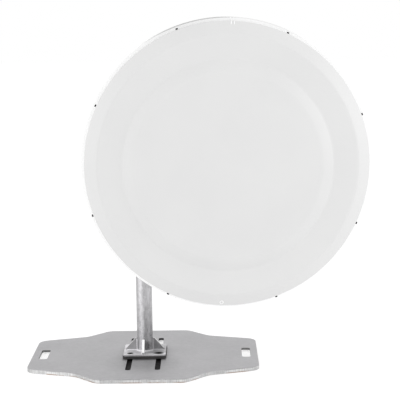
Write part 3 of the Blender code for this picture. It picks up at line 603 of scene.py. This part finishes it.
grids = [sunk_screw(shift_by(x, y, 0.0)) for x in (-SCREW_AT, SCREW_AT) for y in (-SCREW_AT, SCREW_AT)]
piece("foot_screws", grids, black_steel, "mast", "black_steel", ["foot_screw_%d" % k for k in range(1, 5)])


# Mast
# Two inch steel tube, hot-dip galvanised. Zinc ran down it in the bath, so it is mottled lengthways. A painted
# highlight runs up it left of its middle. Painted shade darkens its left edge, its right half, where it also stands
# for duller zinc, and the tube beside the front gusset. It has a scratch, and a black rubber cap closes its top.
MAST_BORE_R = 0.0265
MAST_FOOT = 0.0299
MAST_TOP = 0.940
CAP_R = 0.03295
CAP_TOP = 0.9428
CAP_LOW = 0.915
CAP_ROUND = 0.003
CAP_PLAY = 0.0003
TUBE_EDGE = 0.0006
CAP_EDGE = 0.0004
# Painted shade on the mast's right half, stronger lower down, partly standing for duller zinc
SHADE_X, SHADE_Z, SHADE_SHARES = (0.006, 0.010), (0.22, 0.14), (0.45, 1.0)
SHADE_WANDER = 0.02
SHADE_TONE = 0.62
SCRATCH_FROM, SCRATCH_WAY = (0.009, -0.0288, 0.150), (0.34, 0.0, 0.94)
SCRATCH_HALF = (0.0016, 0.0008)
SCRATCH_Z, SCRATCH_REACH = 0.156, 0.012
# Painted shadow on the mast beside the front gusset
GUSSET_SHADOW = ((0.008, -0.031, 0.050), 0.010, 0.024, 0.45)
# Painted shade on the mast's left edge
LIMB_X, LIMB_SHADE_TONES = (-0.027, -0.018), (0.73, 1.0)
# Painted highlight: a bright band up the mast left of its middle
HIGHLIGHT_X, HIGHLIGHT_HALF, HIGHLIGHT_TONES = -0.0125, (0.003, 0.009), (1.25, 1.0)


def turned(profile, steps=128, place=np.eye(4), close=False):
    """Grid of a profile of (radius, height) pairs carried round an axis in even steps."""
    return wrapped(profile, 2 * np.pi * np.arange(steps) / steps, place, close)


mast_zinc, tree, shader, coords, skin = zinc("mast_zinc", 0.55, 0.62, 160.0, (1.0, 1.0, 0.5), 0.8, rough=(0.24, 0.38))
at = apart(tree, coords.outputs["Object"])
# Painted shade on the right half with a wandering edge, partly standing for duller zinc; the scratch takes the same
# darker colour
edge = put(tree, "ShaderNodeTexNoise", [("Vector", coords.outputs["Object"]), ("Scale", 22.0), ("Detail", 4.0)])
wander = reckon(tree, "MULTIPLY_ADD", edge.outputs["Fac"], SHADE_WANDER, at.outputs["X"])
darker_part = reckon(tree, "MULTIPLY", ramp(tree, wander, SHADE_X), ramp(tree, at.outputs["Z"], SHADE_Z, SHADE_SHARES))
darker_colour = scaled(tree, skin.outputs["Color"], SHADE_TONE)
gap = put(tree, "ShaderNodeVectorMath", [(0, coords.outputs["Object"]), (1, SCRATCH_FROM)], operation="SUBTRACT")
gap = put(tree, "ShaderNodeVectorMath", [(0, gap.outputs[0]), (1, SCRATCH_WAY)], operation="CROSS_PRODUCT")
gap = put(tree, "ShaderNodeVectorMath", [(0, gap.outputs[0])], operation="LENGTH")
scratch = reckon(tree, "COMPARE", at.outputs["Z"], SCRATCH_Z, SCRATCH_REACH)
scratch = reckon(tree, "MULTIPLY", ramp(tree, gap.outputs["Value"], SCRATCH_HALF), scratch)
marked = blend_of(tree, scratch, blend_of(tree, darker_part, skin.outputs["Color"], darker_colour), darker_colour)
# Painted shade on the mast's left edge
limb_shade = ramp(tree, at.outputs["X"], LIMB_X, LIMB_SHADE_TONES)
# Painted highlight: a bright band up the mast left of its middle
off_highlight = reckon(tree, "ABSOLUTE", reckon(tree, "SUBTRACT", at.outputs["X"], HIGHLIGHT_X))
factor = reckon(tree, "MULTIPLY", limb_shade, ramp(tree, off_highlight, HIGHLIGHT_HALF, HIGHLIGHT_TONES))
# Painted shadow on the mast beside the front gusset's right side
factor = reckon(tree, "MULTIPLY", factor, fade_near(tree, coords, *GUSSET_SHADOW))
tree.links.new(scaled(tree, marked, factor), shader.inputs["Base Color"])
tube = [(MAST_BORE_R, MAST_TOP), (MAST_R, MAST_TOP), (MAST_R, MAST_FOOT), (MAST_BORE_R, MAST_FOOT)]
grids = [turned(tube, 96, close=True)]
piece("mast_tube_finished", grids, mast_zinc, "mast", "galvanised_steel", ["mast_tube"], TUBE_EDGE)
bend = np.linspace(0.0, np.pi / 2, 7)
crown = np.stack([CAP_R - CAP_ROUND * (1 - np.sin(bend)), CAP_TOP - CAP_ROUND * (1 - np.cos(bend))], axis=-1)
cap = [(0.0, CAP_TOP), *crown.tolist(), (CAP_R, CAP_LOW), (MAST_R + CAP_PLAY, CAP_LOW),
       (MAST_R + CAP_PLAY, MAST_TOP + CAP_PLAY), (0.0, MAST_TOP + CAP_PLAY)]
piece("mast_cap_finished", [turned(cap, 96)], black_rubber, "mast", "black_rubber", ["mast_cap"], CAP_EDGE)


# Mast clamp
# Two channels behind the mast and two before it, notched to grip it, with a plate across their front. Four
# long bolts draw them together: head behind, washer and nut in front, thread showing past the nut.
HUB_Z = 0.788
HEAD_TURN = math.radians(3.0)
HEAD = shift_by(0.0, 0.0, HUB_Z) @ turn_about("Z", HEAD_TURN)
JAW_BACK = 0.062
JAW_Z = 0.075
PAN_FRONT = 0.0703
CLAMP_BOLT_X = 0.055
CLAMP_BOLT_PROUD = 0.008
# Radius, pitch, width over flats, and heights of head and nut
M12 = (0.006, 0.00175, 0.0181, 0.008, 0.010)
WASHER_T = 0.0016
WASHER_PLAY = 0.0004
CHAMFER = 0.0003
HEAD_SEAT = 0.0004
SEAT_GAP = 0.0003

clamp_zinc = zinc("clamp_zinc", 0.45, 0.26, 120.0)[0]
for name in ("clamp_front_upper", "clamp_front_lower", "clamp_back_upper", "clamp_back_lower", "pan_plate"):
    dressed(name, clamp_zinc, "clamp_head", "galvanised_steel", STEEL_EDGE)


def hex_head(flats, low, high, place, bore=0.0):
    """Grid of a bolt head or nut from low to high: hexagons whose corners a 30 degree cone cuts at the free end.

    At angle t the free edge stands at high - (hexagon(t) - 0.475 flats) tan 30.
    """
    angles = 2 * np.pi * np.arange(48) / 48
    edge = hexagon(flats, angles)
    circle = 0.475 * flats
    cut = high - (edge - circle) * math.tan(math.pi / 6)
    rows = [(bore, low), (circle, low), (edge, low + HEAD_SEAT), (edge, cut), (circle, high), (bore, high)]
    return wrapped(rows, angles, place, bore > 0)


def washer(radius, bore, low, thickness, place):
    """Grid of a flat washer, a turned rectangle with its outer corners taken off."""
    high = low + thickness
    profile = [(bore, low), (radius - CHAMFER, low), (radius, low + CHAMFER), (radius, high - CHAMFER),
               (radius - CHAMFER, high), (bore, high)]
    return turned(profile, 48, place, close=True)


def thread(radius, pitch, low, high, place):
    """Grid of a threaded rod: r = radius - 0.3 pitch x wave(z / pitch - angle), a triangle wave, its end chamfered."""
    angles = 2 * np.pi * np.arange(32) / 32
    z = np.linspace(low, high, max(4, int(8 * abs(high - low) / pitch)) + 1)
    phase = (z[:, None] / pitch - angles[None, :] / (2 * np.pi)) % 1.0
    r = radius - 0.3 * pitch * np.abs(2 * phase - 1)
    r = np.minimum(r, radius - 0.8 * pitch + np.abs(z - high)[:, None])
    z = np.broadcast_to(z[:, None], r.shape)
    rod = np.stack([r * np.cos(angles), r * np.sin(angles), z], axis=-1)
    ends = [np.broadcast_to(np.array([0.0, 0.0, end]), (1, 32, 3)) for end in (low, high)]
    return moved(np.concatenate([ends[0], rod, ends[1]]), place), False, True


def bolt(size, head_at, nut_at, proud, place):
    """Grids of a bolt along Z through what it holds: rod, washers, head and nut, and thread that stands proud."""
    r, pitch, flats, head_h, nut_h = size
    way = 1 if nut_at > head_at else -1
    low, high = sorted((head_at, nut_at))
    return [
        turned([(0.0, low), (r, low), (r, high), (0.0, high)], 32, place),
        washer(2 * r, r + WASHER_PLAY, low - WASHER_T, WASHER_T, place),
        washer(2 * r, r + WASHER_PLAY, high, WASHER_T, place),
        hex_head(flats, head_at - way * WASHER_T, head_at - way * head_h, place),
        hex_head(flats, nut_at + way * WASHER_T, nut_at + way * nut_h, place),
        thread(r, pitch, nut_at + way * WASHER_T, nut_at + way * (nut_h + proud), place),
    ]


bright_zinc = zinc("bright_zinc", 0.62, 0.12, 500.0, metallic=0.9, depth=0.00003)[0]
grids = []
for x in (-CLAMP_BOLT_X, CLAMP_BOLT_X):
    for z in (-JAW_Z, JAW_Z):
        place = HEAD @ shift_by(x, 0.0, z) @ turn_about("X", math.pi / 2)
        grids += bolt(M12, -JAW_BACK - SEAT_GAP, PAN_FRONT + SEAT_GAP, CLAMP_BOLT_PROUD, place)
piece("clamp_bolts", grids, bright_zinc, "clamp_head", "zinc_plated",
      ["clamp_bolt_" + corner for corner in ("upper_left", "upper_right", "lower_left", "lower_right")])


# Arm and yoke
# A box tube reaches to the right and two cheeks are welded on its front. The dish tilts on a bolt through
# each cheek, and a second bolt above it, in a bent slot, locks the tilt.
ARM_FACES = (-0.0706, -0.1206)
ARM_HALF = 0.030
ARM_START = -0.060
ARM_REACH = 0.290
PAN_HALF_WIDTH = 0.075
PIVOT_Y = -0.1646
CHEEK_FACES = (0.055, 0.063)
EAR_INSIDE = 0.046
LOCK_RADIUS = 0.070
# Radius, pitch, width over flats, and heights of head and nut
M16 = (0.0077, 0.0020, 0.0239, 0.010, 0.013)
TILT_BOLT_PROUD = 0.004
ARM_BEAD_R = 0.003
arm_zinc = zinc("arm_zinc", 0.45, 0.30, 110.0, (0.4, 1.0, 1.0))[0]
for name in ("offset_arm", "yoke_cheek_left", "yoke_cheek_right"):
    dressed(name, arm_zinc, "clamp_head", "galvanised_steel", STEEL_EDGE)
behind, before = (y - SEAT_GAP for y in ARM_FACES)
paths = [straight((ARM_START + 0.004, behind, z), (PAN_HALF_WIDTH - 0.004, behind, z)) for z in (-ARM_HALF, ARM_HALF)]
for x in (ARM_REACH + side * face for side in (-1, 1) for face in CHEEK_FACES):
    paths.append(straight((x, before, -ARM_HALF + 0.002), (x, before, ARM_HALF - 0.002)))
grids = [bead(path, ARM_BEAD_R, place=HEAD) for path in paths]
piece("arm_welds", grids, weld_metal, "clamp_head", "galvanised_steel")

TILT = HEAD @ shift_by(ARM_REACH, PIVOT_Y, 0.0)
grids = []
for side in (-1, 1):
    for up, size in ((0.0, M16), (LOCK_RADIUS, M12)):
        place = TILT @ shift_by(0.0, 0.0, up) @ turn_about("Y", side * math.pi / 2)
        grids += bolt(size, CHEEK_FACES[1] + SEAT_GAP, EAR_INSIDE - SEAT_GAP, TILT_BOLT_PROUD, place)
piece("tilt_bolts", grids, bright_zinc, "clamp_head", "zinc_plated",
      ["pivot_bolt_left", "pivot_bolt_right", "lock_bolt_left", "lock_bolt_right"])


# Hub bracket and ring
# A plate with two ears, welded on, which tilts with the dish. Four bolts hold it on a thick turned ring
# behind the bowl.
HUB_PLATE_BACK = -0.055
EAR_FACES = (0.046, 0.054)
EAR_ENDS = (-0.058, 0.088)
EAR_BEAD_R = 0.0026
HUB_BOLT_AT = 0.0675
HUB_BOLT_FLATS = 0.0158
HUB_BOLT_TOP = 0.0080
# Radius, bore, height of the underside and thickness
HUB_WASHER = (0.0105, 0.0054, 0.0002, WASHER_T)
hub_zinc = zinc("hub_zinc", 0.46, 0.24, 120.0)[0]
dressed("hub_bracket", hub_zinc, "dish", "galvanised_steel", STEEL_EDGE)
grids = []
for x in (-EAR_FACES[1], -EAR_FACES[0], *EAR_FACES):
    path = straight((x, HUB_PLATE_BACK, EAR_ENDS[0]), (x, HUB_PLATE_BACK, EAR_ENDS[1]))
    grids.append(bead(path, EAR_BEAD_R, place=TILT))
piece("hub_welds", grids, weld_metal, "dish", "galvanised_steel")
grids = []
for x in (-HUB_BOLT_AT, HUB_BOLT_AT):
    for z in (-HUB_BOLT_AT, HUB_BOLT_AT):
        place = TILT @ shift_by(x, HUB_PLATE_BACK, z) @ turn_about("X", -math.pi / 2)
        grids += [washer(*HUB_WASHER, place), hex_head(HUB_BOLT_FLATS, WASHER_T, HUB_BOLT_TOP, place)]
piece("hub_bolts", grids, bright_zinc, "dish", "zinc_plated")

# The dish's own frame has its Z forward along the beam, and nought at the radome's widest edge
DISH_AHEAD = -0.3036
DISH_ROLL = math.radians(2.8)
DISH = TILT @ shift_by(0.0, DISH_AHEAD, 0.0) @ turn_about("Y", DISH_ROLL) @ turn_about("X", math.pi / 2)
BOWL_DEPTH = 0.228
BOWL_R = 0.470
BOWL_RIM_H = -0.0466
HUB_RING_R = 0.110
HUB_BORE_R = 0.030
HUB_BACK_H = -0.2403
HUB_GAP = 0.0004
HUB_EDGE = 0.0008


def bowl(radius):
    """Height of the bowl's back in the dish's frame, a parabola: vertex + (rim - vertex) x (radius / rim radius)^2."""
    return -BOWL_DEPTH + (BOWL_DEPTH + BOWL_RIM_H) * (np.asarray(radius, float) / BOWL_R) ** 2


radii = np.linspace(HUB_BORE_R, HUB_RING_R, 9)
ring = [*np.stack([radii, bowl(radii) - HUB_GAP], axis=-1).tolist(), (HUB_RING_R, HUB_BACK_H), (HUB_BORE_R, HUB_BACK_H)]
grids = [turned(ring, 96, DISH, close=True)]
piece("hub_ring_finished", grids, hub_zinc, "dish", "galvanised_steel", ["hub_ring"], HUB_EDGE)


# Feed flange
# The feed's rear end, turned from solid and plated, with a round waveguide opening and a groove for a seal.
# It sticks out of the hub ring behind the dish.
FEED_R = 0.027
FEED_START = -0.2284
FEED_FLANGE_R = 0.033
FEED_FLANGE_H = -0.275
FEED_END = -0.285
GROOVE_R, GROOVE_H = (0.0160, 0.0185), FEED_END + 0.0012
GUIDE_R, GUIDE_H = 0.0105, FEED_END + 0.030
FEED_EDGE = 0.0004
feed = [(0.0, FEED_START), (FEED_R, FEED_START), (FEED_R, FEED_FLANGE_H), (FEED_FLANGE_R, FEED_FLANGE_H),
        (FEED_FLANGE_R, FEED_END), (GROOVE_R[1], FEED_END), (GROOVE_R[1], GROOVE_H), (GROOVE_R[0], GROOVE_H),
        (GROOVE_R[0], FEED_END), (GUIDE_R, FEED_END), (GUIDE_R, GUIDE_H), (0.0, GUIDE_H)]
piece("feed_flange_finished", [turned(feed, 96, DISH)], bright_zinc, "dish", "zinc_plated", ["feed_flange"], FEED_EDGE)


# Reflector
# Spun aluminium bowl, a parabola with a flat rim, evenly painted white. Its open side is behind the radome,
# and its rim lies against the ring.
WALL = 0.003
BOWL_EDGE_R = 0.493
BOWL_LIP = 0.002
BOWL_TRIM = 0.0005


def walled(face, wall):
    """A profile at a wall's thickness from another, square to its slope: above it, or below where wall is negative."""
    slope = np.gradient(face[:, 1], face[:, 0])
    back = face + wall * np.stack([-slope, np.ones_like(slope)], axis=-1) / np.sqrt(1 + slope ** 2)[:, None]
    back[0, 0] = 0.0
    return back


white_paint = even("white_paint", (0.82, 0.82, 0.82), (0.84, 0.84, 0.838), 9.0, 700.0, (0.34, 0.40))[0]
radii = np.linspace(0.0, BOWL_R, 60)
outside = np.stack([radii, bowl(radii)], axis=-1)
within = walled(outside, WALL)
within = within[within[:, 1] < BOWL_RIM_H + WALL - BOWL_TRIM]
shell = [*outside.tolist(), (BOWL_EDGE_R, BOWL_RIM_H), (BOWL_EDGE_R, BOWL_RIM_H + WALL),
         (BOWL_R - BOWL_LIP, BOWL_RIM_H + WALL), *within[::-1].tolist()]
piece("reflector_finished", [turned(shell, 160, DISH)], white_paint, "dish", "white_aluminium", ["reflector"])


# Rim ring
# A rolled white band round the bowl's rim: a hoop inside the radome's skirt, a flat flange that carries both,
# and a short lip behind. Painted shade darkens its top, most along the outer edge, less to the right.
RING_R = 0.498
RING_T = 0.003
RING_FACE_H = -0.0403
RING_LIP_H = -0.058
HOOP_R = (0.4767, 0.4797)
HOOP_H = -0.004
RING_TONES = ((0.95, 0.95, 0.95), (0.97, 0.97, 0.97), 12.0, 700.0, (0.32, 0.42))
# Painted shade on the ring's top, most along the outer edge, less to the right
RIM_SHADE_LINE, RIM_SHADE_SHARES = (0.4935, 0.4950), (0.10, 0.48)
RIM_SHADE_Z = (0.40, 0.46)
RIM_SHADE_X, RIM_SHADE_RIGHT = (-0.03, 0.05), (1.0, 0.35)
RIM_SHADE_GREY = (0.10, 0.10, 0.10, 1.0)
RING_EDGE = 0.0009
ring_white = even("ring_white", *RING_TONES)[0]
ring_paint, tree, shader, coords, skin = even("ring_paint", *RING_TONES)
centre = (DISH @ np.array((0.0, 0.0, RING_FACE_H, 1.0)))[:3].tolist()
gap = put(tree, "ShaderNodeVectorMath", [(0, coords.outputs["Object"]), (1, centre)], operation="SUBTRACT")
away = put(tree, "ShaderNodeVectorMath", [(0, gap.outputs[0])], operation="LENGTH")
at = apart(tree, gap.outputs[0])
# Painted shade on the ring's top, most along its outer edge, less to the right
rim_shade = ramp(tree, away.outputs["Value"], RIM_SHADE_LINE, RIM_SHADE_SHARES)
rim_shade = reckon(tree, "MULTIPLY", rim_shade, ramp(tree, at.outputs["Z"], RIM_SHADE_Z))
rim_shade = reckon(tree, "MULTIPLY", rim_shade, ramp(tree, at.outputs["X"], RIM_SHADE_X, RIM_SHADE_RIGHT))
tree.links.new(blend_of(tree, rim_shade, skin.outputs["Color"], RIM_SHADE_GREY), shader.inputs["Base Color"])
section = [(HOOP_R[0], HOOP_H), (HOOP_R[1], HOOP_H), (HOOP_R[1], RING_FACE_H), (RING_R, RING_FACE_H),
           (RING_R, RING_LIP_H), (RING_R - RING_T, RING_LIP_H), (RING_R - RING_T, RING_FACE_H - RING_T),
           (HOOP_R[0], RING_FACE_H - RING_T)]
grids = [turned(section, 192, DISH, close=True)]
piece("rim_ring_finished", grids, ring_paint, "dish", "white_aluminium", ["rim_ring"], RING_EDGE)


# Radome
# Off-white moulded plastic: a shallow dome, a step down to a flat band, and a bevelled shoulder to the straight
# skirt that slips over the ring. Both slopes begin softly and end in a crease.
RADOME_R = 0.484
RADOME_WALL = 0.004
SKIRT_H = -0.040
SHOULDER_R = 0.443
SHOULDER_H = 0.025
SHOULDER_CURVE = 1.1
STEP_R = (0.318, 0.357)
STEP_H = (0.043, 0.027)
STEP_CURVE = 1.3
DOME_H = 0.056
CREASE = math.radians(50)


def radome_height(radius):
    """Height of the radome's face, where u runs from nought to one over each zone's radii.

    Dome 0.056 - 0.013 u^2, step 0.043 - 0.016 u^1.3, a straight band to 0.025, and shoulder 0.025 (1 - u^1.1).
    """
    r = np.asarray(radius, float)
    dome = DOME_H - (DOME_H - STEP_H[0]) * (r / STEP_R[0]) ** 2
    u = np.clip((r - STEP_R[0]) / (STEP_R[1] - STEP_R[0]), 0.0, 1.0)
    step = STEP_H[0] - (STEP_H[0] - STEP_H[1]) * u ** STEP_CURVE
    band = STEP_H[1] + (SHOULDER_H - STEP_H[1]) * (r - STEP_R[1]) / (SHOULDER_R - STEP_R[1])
    v = np.clip((r - SHOULDER_R) / (RADOME_R - SHOULDER_R), 0.0, 1.0)
    shoulder = SHOULDER_H * (1 - v ** SHOULDER_CURVE)
    return np.select([r < STEP_R[0], r < STEP_R[1], r < SHOULDER_R], [dome, step, band], shoulder)


radome_white = even("radome_white", (0.664, 0.664, 0.664), (0.676, 0.676, 0.675), 6.0, 900.0, (0.45, 0.55))[0]
zones = ((0.0, STEP_R[0], 40), (*STEP_R, 18), (STEP_R[1], SHOULDER_R, 14), (SHOULDER_R, RADOME_R, 18))
radii = np.unique(np.concatenate([np.linspace(*zone) for zone in zones]))
face = np.stack([radii, radome_height(radii)], axis=-1)
within = walled(face, -RADOME_WALL)
within = within[within[:, 0] < RADOME_R - RADOME_WALL]
shell = [*face.tolist(), (RADOME_R, SKIRT_H), (RADOME_R - RADOME_WALL, SKIRT_H),
         (RADOME_R - RADOME_WALL, within[-1, 1]), *within[::-1].tolist()]
piece("radome_finished", [turned(shell, 192, DISH)], radome_white, "dish", "radome_plastic", ["radome"], sharp=CREASE)


# Radome marks
# Two fine ribs moulded on the shoulder at the top, two like them on the ring's joint in line with them, and a
# collar round the drain hole at the bottom.
RIB_R = 0.0011
RIB_X = (-0.0064, 0.0040)
RIB_ENDS = (0.4725, 0.4835)
JOINT_ENDS = (0.4850, 0.4970)
DRAIN_AT = (-0.0025, -0.4722)
DRAIN_R = 0.0056


def raised(x, y, close=False):
    """Grid of a round ridge on the radome's face along points x and y: a bead whose ripple is too long to show."""
    path = np.stack([x + 0 * y, y, radome_height(np.hypot(x, y))], axis=-1)
    return bead(path, RIB_R, ripple=1.0, close=close, place=DISH)


turn = 2 * np.pi * np.arange(64) / 64
grids = [raised(x, np.linspace(*RIB_ENDS, 24)) for x in RIB_X]
grids.append(raised(DRAIN_AT[0] + DRAIN_R * np.cos(turn), DRAIN_AT[1] + DRAIN_R * np.sin(turn), close=True))
piece("radome_marks", grids, ring_white, "dish", "radome_plastic")
paths = [straight((x, JOINT_ENDS[0], RING_FACE_H), (x, JOINT_ENDS[1], RING_FACE_H)) for x in RIB_X]
grids = [bead(path, RIB_R, ripple=1.0, place=DISH) for path in paths]
piece("ring_joint", grids, ring_white, "dish", "white_aluminium")


# Rim screws
# Eight small black screws, set radially through the radome's skirt into the ring's hoop, each on a white
# plastic washer.
RIM_SCREW_H = -0.010
RIM_SCREW_R = 0.003
RIM_SCREW_ENDS = (-0.013, 0.001)
RIM_SCREW_FLATS = 0.0072
RIM_SCREW_TOP = 0.0061
RIM_WASHER_TOP = 0.0014
# Radius, bore, height of the underside and thickness
RIM_WASHER = (0.0042, RIM_SCREW_R + 0.0001, 0.0003, RIM_WASHER_TOP - 0.0003)
grids, washers = [], []
for k in range(8):
    place = DISH @ turn_about("Z", math.radians(45.0 * (k + 0.5))) @ shift_by(RADOME_R, 0.0, RIM_SCREW_H)
    place = place @ turn_about("Y", math.pi / 2)
    low, high = RIM_SCREW_ENDS
    grids.append(turned([(0.0, low), (RIM_SCREW_R, low), (RIM_SCREW_R, high), (0.0, high)], 24, place))
    grids.append(hex_head(RIM_SCREW_FLATS, RIM_WASHER_TOP, RIM_SCREW_TOP, place))
    washers.append(washer(*RIM_WASHER, place))
piece("rim_screws", grids, black_steel, "dish", "black_steel", ["rim_screw_%d" % k for k in range(1, 9)])
piece("rim_screw_washers", washers, ring_white, "dish", "radome_plastic")

low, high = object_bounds()
